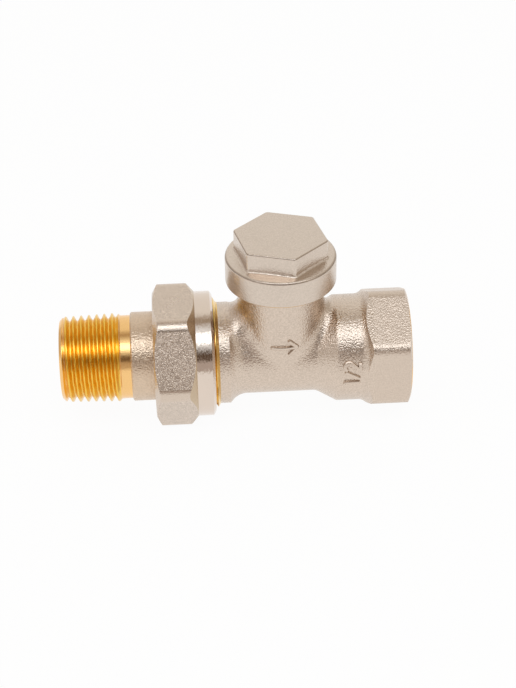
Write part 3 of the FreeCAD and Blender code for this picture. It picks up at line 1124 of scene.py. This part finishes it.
@dataclass
class HexagonCap:
    """The protective cap with its female thread, in millimetres.

    Attributes:
        bore: Radius of the thread bore.
        bore_skin: Reach past the bore and over the seat that still counts as inside.
        mouth_chamfer: Depth of the chamfer at its mouth.
        mouth_fade: Distances over the mouth at which the thread begins and is full.
        seat: Height of the gasket seat.
        seat_fade: Distances under the seat at which the thread begins and is full.
        recess: Radius of the recess above the seat.
        roof: Thickness of the top above the recess.
        rim_radius: Radius of the round flange.
        edge_depth: Reach of the rounded edges from the top and from the rim.
        edge_shade_band: Upward share of the normal between which a rounded edge gets its painted dark line,
            a painted reflection of the dark room.
        lower_depth: Reach of the lower rounded edge.
        lower_edge: Upward share of the normal between which the lower edge is bare.
        stem: The spindle's line.
    """

    bore: float = 9.85
    bore_skin: tuple[float, float] = (0.35, 0.05)
    mouth_chamfer: float = 0.4
    mouth_fade: tuple[float, float] = (0.6, 1.2)
    seat: float = 25.5
    seat_fade: tuple[float, float] = (0.3, 1.4)
    recess: float = 8.1
    roof: float = 1.5
    rim_radius: float = 12.8
    edge_depth: float = 0.7
    edge_shade_band: tuple[float, float] = (0.3, 0.72)
    lower_depth: float = 0.5
    lower_edge: tuple[float, float] = (-0.9, -0.3)
    stem: Axis = field(default_factory=spindle_axis)

    def build(self) -> bpy.types.Object:
        """Cut the thread and put the cap in place.

        Returns:
            The piece.
        """
        blank = Blank("protective_cap", "hexagon_cap", [SATIN, CUT_BRASS, PAINTED_EDGE_SHADE])
        base, top = (corner.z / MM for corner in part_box("protective_cap"))
        mouth = base + self.mouth_chamfer

        def choose(middle: Vector, normal: Vector) -> Finish:
            """Plate outside with painted dark lines along the rounded edges, a painted reflection of the
            dark room, bare brass inside.

            Args:
                middle: A face's middle.
                normal: Its normal.

            Returns:
                Its finish.
            """
            off_stem = math.hypot(middle.x - self.stem.origin.x, middle.y)
            past, over = self.bore_skin
            in_bore = off_stem < self.bore + past and middle.z < self.seat + over
            in_recess = off_stem < self.recess and middle.z < top - self.roof
            at_base = self._between(normal.z, self.lower_edge) and middle.z < base + self.lower_depth
            if in_bore or in_recess or at_base:
                return CUT_BRASS
            rounded = middle.z > top - self.edge_depth or off_stem > self.rim_radius - self.edge_depth
            # Rounded edges that would face a dark part of the room get the darker nickel: painted
            # reflection.
            return PAINTED_EDGE_SHADE if rounded and self._between(normal.z, self.edge_shade_band) else SATIN

        def radius(along: np.ndarray, angle: np.ndarray) -> np.ndarray:
            """Ridges inward that run in the neck's thread.

            Args:
                along: Distances along the spindle.
                angle: Angles about it.

            Returns:
                Radii.
            """
            cut = THREADS.female(THREADS.cap, THREADS.cap_major, along, angle)
            upper = fade(along, *(self.seat - distance for distance in self.seat_fade))
            lower = fade(along, *(mouth + distance for distance in self.mouth_fade))
            return self.bore + (cut - self.bore) * (upper * lower)

        blank.dress(choose)
        zone = Zone(self.stem, mouth, self.seat, self.bore, self.bore)
        blank.cut_thread(zone, radius, CUT_BRASS, inward=True)
        return blank.finish("cap", Slot.PLATE)

    @staticmethod
    def _between(value: float, ends: tuple[float, float]) -> bool:
        """Whether a value lies between two ends."""
        return ends[0] < value < ends[1]


@dataclass(frozen=True)
class Ridge:
    """Section of a raised line with sloping sides and rounded ends, in millimetres.

    Attributes:
        height: Height over the surface.
        sunk: Depth to which the foot goes below the surface.
        foot: Half width at the foot.
        crown: Half width at the shoulder of the crown.
        shoulder: Share of the height at that shoulder.
        flat: Share of the crown's width that is flat.
        step: Spacing of the sections along the line.
        least: Fewest steps of a line.
        end: Length over which an end closes.
        pinch: Share of that length at which it is cut off.
    """

    height: float = 0.46
    sunk: float = 0.08
    foot: float = 0.5
    crown: float = 0.38
    shoulder: float = 0.8
    flat: float = 0.6
    step: float = 0.14
    least: int = 4
    end: float = 0.3
    pinch: float = 0.05

    def section(self) -> Line:
        """Points of the section from one foot over the crown to the other.

        Returns:
            Offset and height of each point.
        """
        half = [(-self.foot, -self.sunk), (-self.crown, self.shoulder * self.height),
                (-self.flat * self.crown, self.height)]
        return half + [(-offset, height) for offset, height in reversed(half)]

    def sweep(self, mesh: bmesh.types.BMesh, points: Line, place: Place) -> None:
        """Add one raised line to a mesh, its flanks with the second finish, a darker nickel that is painted
        shade.

        Args:
            mesh: Mesh to add to.
            points: Corners of the line in the mark's own plane.
            place: Takes a point of that plane and a height, returns the place in metres.
        """
        path = self._resample(np.array(points))
        run = np.gradient(path, axis=0)
        run /= np.linalg.norm(run, axis=1)[:, None]
        walk = np.concatenate([[0.0], np.cumsum(np.linalg.norm(np.diff(path, axis=0), axis=1))])
        left = np.minimum(walk, walk[-1] - walk) / self.end
        close = np.sqrt(np.clip(1.0 - (1.0 - np.clip(left, self.pinch, 1.0)) ** 2, 0.0, 1.0))
        rows = []
        for (across, upward), (dx, dy), shut in zip(path, run, close):
            rows.append([mesh.verts.new(place(across - dy * offset * shut, upward + dx * offset * shut,
                                              height if height < 0.0 else height * shut))
                         for offset, height in self.section()])
        for one, two in zip(rows, rows[1:]):
            for k in range(len(one) - 1):
                face = mesh.faces.new((one[k], one[k + 1], two[k + 1], two[k]))
                # The flanks take the darker finish: painted shade on the raised line's sides.
                face.material_index = 1 if k in (0, len(one) - 2) else 0
        mesh.faces.new(rows[0])
        mesh.faces.new(rows[-1][::-1])
        for one, two in zip(rows, rows[1:]):
            mesh.faces.new((one[-1], one[0], two[0], two[-1]))

    def _resample(self, corners: np.ndarray) -> np.ndarray:
        """Points at even steps along a line of straight stretches.

        Args:
            corners: Corners of the line.

        Returns:
            The points.
        """
        lengths = np.linalg.norm(np.diff(corners, axis=0), axis=1)
        walk = np.concatenate([[0.0], np.cumsum(lengths)])
        count = max(self.least, round(walk[-1] / self.step))
        stations = np.linspace(0.0, walk[-1], count + 1)
        return np.stack([np.interp(stations, walk, corners[:, k]) for k in range(2)], axis=1)


def body_skin() -> BVHTree:
    """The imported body's surface, for finding points on it.

    Returns:
        A search tree over its faces.
    """
    mesh = bmesh.new()
    mesh.from_mesh(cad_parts["valve_body"].data)
    tree = BVHTree.FromBMesh(mesh)
    mesh.free()
    return tree


@dataclass
class ForgedMarks:
    """Raised marks on the body: a flow arrow on the neck and the pipe size on the collar, in millimetres.

    Attributes:
        ridge: Section of the raised lines.
        arrow_height: Height of the arrow's middle.
        arrow_length: Length of the arrow.
        arrow_barb: Reach of each barb along and across the arrow.
        numeral_place: Middle of the numerals along the run.
        numeral_angle: Middle of the numerals about the run, up from the camera's side, in degrees.
        numeral_height: Height of the numerals.
        numeral_width: Width of one numeral.
        one_place: Place of the one's stem along the writing.
        one_flag: Reach of the one's flag along and down.
        bar_reach: Foot and head of the bar along the writing.
        two_place: Middle of the two along the writing.
        two_bowl: First angle and step in degrees, and number of points, of the two's bowl.
        collar_radius: Radius of the collar that carries the numerals.
        far: Distance from which points are thrown onto the body.
        skin: The body's surface.
        stem: The spindle's line.
    """

    ridge: Ridge = Ridge()
    arrow_height: float = 7.2
    arrow_length: float = 6.2
    arrow_barb: tuple[float, float] = (2.1, 2.1)
    numeral_place: float = -13.9
    numeral_angle: float = 5.5
    numeral_height: float = 3.6
    numeral_width: float = 1.9
    one_place: float = -2.5
    one_flag: tuple[float, float] = (0.8, 0.9)
    bar_reach: tuple[float, float] = (-1.5, 0.4)
    two_place: float = 1.7
    two_bowl: tuple[float, float, int] = (170.0, -10.0, 21)
    collar_radius: float = 12.6
    far: float = 40.0
    skin: BVHTree = field(default_factory=body_skin)
    stem: Axis = field(default_factory=spindle_axis)

    def build(self) -> None:
        """Raise both marks on the body."""
        self._raise("flow_arrow", self._arrow(), self._on_neck)
        self._raise("size_numerals", self._numerals(), self._on_collar)

    def _arrow(self) -> list[Line]:
        """Lines of the arrow.

        Returns:
            The shaft and the two barbs.
        """
        half = self.arrow_length / 2.0
        along, across = self.arrow_barb
        return [[(-half, 0.0), (half, 0.0)], [(half - along, across), (half, 0.0), (half - along, -across)]]

    def _numerals(self) -> list[Line]:
        """Lines of the size, one half, written along the reading direction.

        Returns:
            The one, the bar and the two.
        """
        top = self.numeral_height / 2.0
        bowl = self.numeral_width / 2.0
        first, step, count = self.two_bowl
        turns = [math.radians(first + step * k) for k in range(count)]
        two = [(self.two_place + bowl * math.cos(a), top - bowl + bowl * math.sin(a)) for a in turns]
        two += [(self.two_place - bowl, -top), (self.two_place + bowl, -top)]
        flag, drop = self.one_flag
        one = [(self.one_place - flag, top - drop), (self.one_place, top), (self.one_place, -top)]
        bar = [(self.bar_reach[0], -top), (self.bar_reach[1], top)]
        return [one, bar, two]

    def _on_neck(self, across: float, upward: float, height: float) -> Vector:
        """Place of an arrow point, straight onto the neck from the front.

        Args:
            across: Distance along the arrow.
            upward: Distance up from it.
            height: Height over the skin.

        Returns:
            The place in metres.
        """
        start = Vector((self.stem.origin.x + across, -self.far, self.arrow_height + upward)) * MM
        return self._raised(start, Vector((0.0, 1.0, 0.0)), height)

    def _on_collar(self, across: float, upward: float, height: float) -> Vector:
        """Place of a numeral point, radially onto the collar, read from below upward.

        Args:
            across: Distance along the writing.
            upward: Distance up from its middle.
            height: Height over the skin.

        Returns:
            The place in metres.
        """
        angle = math.radians(self.numeral_angle) + across / self.collar_radius
        spoke = Vector((0.0, -math.cos(angle), math.sin(angle)))
        start = (spoke * self.far + Vector((self.numeral_place - upward, 0.0, 0.0))) * MM
        return self._raised(start, -spoke, height)

    def _raised(self, start: Vector, inward: Vector, height: float) -> Vector:
        """Point at which a line first meets the body's skin, raised against that line."""
        hit = self.skin.ray_cast(start, inward)[0]
        return hit - inward * (height * MM)

    def _raise(self, name: str, lines: list[Line], place: Place) -> None:
        """Make one mark from its lines.

        Args:
            name: Name of the piece.
            lines: Corners of each line in the mark's plane.
            place: Puts a point of that plane on the body.
        """
        mesh = bmesh.new()
        for line in lines:
            self.ridge.sweep(mesh, line, place)
        bmesh.ops.recalc_face_normals(mesh, faces=mesh.faces)
        # The second finish paints shade on the flanks of the raised lines.
        link_piece(settle(mesh, name), [RAISED, PAINTED_FLANK_SHADE], "body")
        LOG.info("%s is raised on the body", name)


@dataclass
class InnerWorks:
    """Spindle, bonnet, plug and seals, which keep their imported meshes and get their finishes.

    Attributes:
        finishes: Nodes by their finish.
    """

    finishes: dict[Finish, tuple[str, ...]] = field(default_factory=lambda: {
        DULL_BRASS: ("bonnet", "spindle", "valve_plug", "plug_plate"),
        ZINC_STEEL: ("plug_screw",),
        BLACK_RUBBER: ("seat_washer", "cap_gasket", "spindle_o_ring_upper", "spindle_o_ring_lower"),
        RED_FIBRE: ("bonnet_gasket",),
    })

    def dress(self) -> None:
        """Give every inner node its finish."""
        for finish, nodes in self.finishes.items():
            for node in nodes:
                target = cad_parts[node]
                target.data.materials.clear()
                target.data.materials.append(finish.material())
                LOG.info("%s is finished as %s", node, finish.name)


@dataclass(frozen=True)
class Softbox:
    """A softbox over the camera's side.

    Attributes:
        name: Name of the lamp.
        width_m: Width along the run.
        height_m: Height of its face.
        elevation: Height over the horizon on the camera's side, in degrees.
        radiance: Brightness of its face.
        colour: Colour of its light.
        distance_m: Distance from the aim.
    """

    name: str
    width_m: float
    height_m: float
    elevation: float
    radiance: float
    colour: Colour = (0.95, 1.0, 1.07)
    distance_m: float = 0.6

    def build(self, aim: Vector) -> None:
        """Hang the lamp.

        Args:
            aim: Point that it faces, in metres.
        """
        lamp = bpy.data.lights.new(self.name, "AREA")
        lamp.shape = "RECTANGLE"
        lamp.size = self.width_m
        lamp.size_y = self.height_m
        lamp.color = self.colour
        lamp.energy = self.radiance * math.pi * self.width_m * self.height_m
        made = add_object(self.name, lamp)
        rise = math.radians(self.elevation)
        back = Vector((0, -math.cos(rise), math.sin(rise)))
        made.location = aim + back * self.distance_m
        made.rotation_euler = (-back).to_track_quat("-Z", "Y").to_euler()


@dataclass
class Studio:
    """Pale floor, softbox, surroundings and camera.

    Attributes:
        floor_radius_m: Radius of the round floor.
        floor_sides: Corners of the round floor.
        floor_gap_m: Gap between the floor and the lowest point of the valve.
        floor_colour: Colour of the floor.
        floor_glow: Share of the floor that shows its white without shade.
        softbox: The lamp.
        image_height_px: Height of the image.
        focal_px: Focal length in pixels of the image.
        sensor_mm: Height of the camera's sensor.
        clip_m: Nearest and farthest distance that the camera sees.
        aim_mm: Point that the camera looks at.
        distance_mm: Distance from the camera to that point.
        elevation: Camera's height over the horizon, in degrees.
        swing: Camera's turn towards the tail, in degrees.
        roll: Camera's roll, in degrees.
        surroundings: Colours of the room by the angle over the horizon, from the camera's side over the top.
        whole_turn: Angles between which the surroundings run.
        side_walls: Side along X and colour of the room's walls to the left and right.
        side_reach: Sideways share of a direction at which a side wall begins and is full.
    """

    floor_radius_m: float = 6.0
    floor_sides: int = 96
    floor_gap_m: float = 0.0002
    floor_colour: Colour = (0.93, 0.925, 0.915)
    floor_glow: float = 0.95
    softbox: Softbox = Softbox("key_softbox", width_m=1.3, height_m=0.19, elevation=61.7, radiance=1.7)
    image_height_px: float = 688.0
    focal_px: float = 1690.6
    sensor_mm: float = 36.0
    clip_m: tuple[float, float] = (0.01, 50.0)
    aim_mm: tuple[float, float, float] = (-35.1, 0.0, 1.9)
    distance_mm: float = 400.0
    elevation: float = 34.8
    swing: float = 2.9
    roll: float = -0.95
    surroundings: tuple[tuple[float, Colour], ...] = (
        (-90.0, (0.95, 0.94, 0.92)),
        (-11.0, (0.95, 0.94, 0.92)),
        (-4.0, (0.53, 0.46, 0.42)),
        (18.0, (0.53, 0.46, 0.42)),
        (23.0, (0.11, 0.07, 0.045)),
        (34.0, (0.11, 0.07, 0.045)),
        (48.0, (0.95, 1.0, 1.05)),
        (79.0, (0.95, 1.0, 1.05)),
        (94.0, (0.40, 0.32, 0.24)),
        (99.0, (0.40, 0.32, 0.24)),
        (113.0, (0.90, 0.88, 0.84)),
        (180.0, (0.95, 0.94, 0.92)),
    )
    whole_turn: tuple[float, float] = (-90.0, 270.0)
    side_walls: tuple[tuple[float, Colour], ...] = (
        (-1.0, (0.64, 0.59, 0.55)),
        (1.0, (0.62, 0.57, 0.51)),
    )
    side_reach: tuple[float, float] = (0.28, 0.58)

    def build(self) -> None:
        """Set up the floor, the lamp, the world and the camera."""
        self._floor()
        self.softbox.build(Vector(self.aim_mm) * MM)
        self._world()
        self._camera()
        bpy.context.scene.view_settings.view_transform = "Standard"
        LOG.info("studio is set up")

    def _floor(self) -> None:
        """Round pale floor under the lowest point of the valve."""
        grid = bmesh.new()
        bmesh.ops.create_circle(grid, cap_ends=True, segments=self.floor_sides, radius=self.floor_radius_m)
        bmesh.ops.translate(grid, verts=grid.verts, vec=(0, 0, CAD_BOX[0].z - self.floor_gap_m))
        data = settle(grid, "floor")
        data.materials.append(self._floor_material())
        floor = add_object("floor", data)

    def _floor_material(self) -> bpy.types.Material:
        """White to the camera, to gloss and through glass, with the valve's shadow kept.

        Returns:
            The material.
        """
        made = bpy.data.materials.new("pale_floor")
        made.use_nodes = True
        graph = Graph(made.node_tree)
        path = graph.node("ShaderNodeLightPath")
        seen = graph.value(path, "Is Camera Ray").larger(graph.value(path, "Is Glossy Ray"))
        seen = seen.larger(graph.value(path, "Is Transmission Ray"))
        matte = graph.node("ShaderNodeBsdfDiffuse", None, {"Color": (*self.floor_colour, 1.0)})
        white = graph.node("ShaderNodeEmission", None, {"Color": (1.0, 1.0, 1.0, 1.0), "Strength": 1.0})
        mixed = graph.node("ShaderNodeMixShader", None, {
            0: seen * self.floor_glow, 1: matte.outputs[0], 2: white.outputs[0]})
        graph.node("ShaderNodeOutputMaterial", None, {"Surface": mixed.outputs[0]})
        return made

    def _world(self) -> None:
        """Surroundings that change from the camera's side over the top to the back."""
        world = bpy.data.worlds.new("studio_room")
        world.use_nodes = True
        bpy.context.scene.world = world
        graph = Graph(world.node_tree)
        place = graph.node("ShaderNodeTexCoord").outputs["Generated"]
        parts = graph.node("ShaderNodeSeparateXYZ", None, {0: place})
        turn = graph.value(parts, "Z").angle_over(graph.value(parts, "Y") * -1.0)
        low, high = self.whole_turn
        share = (turn + math.radians(-low)) * (1.0 / math.radians(high - low))
        stops = [((angle - low) / (high - low), colour) for angle, colour in self.surroundings]
        room = graph.node("ShaderNodeValToRGB", {"stops": stops}, {0: share}).outputs[0]
        for side, colour in self.side_walls:
            wall = graph.smooth(graph.value(parts, "X") * side, *self.side_reach)
            room = graph.blend(wall, room, (*colour, 1.0))
        sky = graph.node("ShaderNodeBackground", None, {"Color": room, "Strength": 1.0})
        graph.node("ShaderNodeOutputWorld", None, {"Surface": sky.outputs[0]})

    def _camera(self) -> None:
        """Camera at the photograph's angle."""
        rise, swing, roll = (math.radians(a) for a in (self.elevation, self.swing, self.roll))
        back = Vector((-math.sin(swing) * math.cos(rise), -math.cos(swing) * math.cos(rise), math.sin(rise)))
        right = Vector((math.cos(swing), -math.sin(swing), 0.0))
        up = back.cross(right)
        across = right * math.cos(roll) + up * math.sin(roll)
        upward = back.cross(across)
        lens = bpy.data.cameras.new("camera")
        lens.sensor_fit = "VERTICAL"
        lens.sensor_height = self.sensor_mm
        lens.sensor_width = self.sensor_mm
        lens.lens = self.sensor_mm * self.focal_px / self.image_height_px
        lens.clip_start, lens.clip_end = self.clip_m
        made = add_object("camera", lens)
        turn = Matrix((across, upward, back)).transposed().to_4x4()
        made.matrix_world = Matrix.Translation((Vector(self.aim_mm) + back * self.distance_mm) * MM) @ turn
        bpy.context.scene.camera = made


def main() -> None:
    """Build the valve's pieces and the studio."""
    logging.basicConfig(level=logging.INFO, format="%(name)s: %(message)s")
    for part in (ForgedBody(), TailPiece(), CouplingNut(), HexagonCap()):
        LOG.info("built %s", part.build().name)
    ForgedMarks().build()
    InnerWorks().dress()
    Studio().build()


if __name__ == "__main__":
    main()
